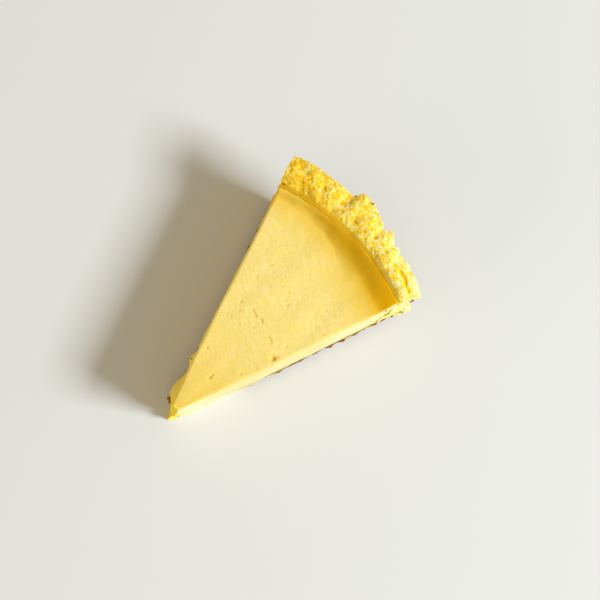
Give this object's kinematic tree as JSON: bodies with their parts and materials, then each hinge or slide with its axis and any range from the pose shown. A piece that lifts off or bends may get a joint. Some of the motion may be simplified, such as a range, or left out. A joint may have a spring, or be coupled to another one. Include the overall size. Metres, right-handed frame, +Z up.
{
  "type": "key lime pie slice",
  "caption": "Wedge of key lime pie: smooth set lime custard in a thick pale crumb crust with a rough raised rim",
  "frame": {"origin": "middle of the slice's box at its flat underside", "axes": "+Z up; +Y along the slice from its tip to its rim; +X across it, out of the cut that is on the right when the rim is seen from the tip"},
  "size_m": [0.083, 0.1308, 0.0362],
  "materials": {
    "crumb_crust": "baked crumb crust, porous and matt; plastic stands in for food",
    "lime_custard": "set custard, smooth with a soft sheen; plastic stands in for food"
  },
  "bodies": {
    "root": {"crust": "crumb_crust", "filling": "lime_custard"}
  },
  "joints": []
}
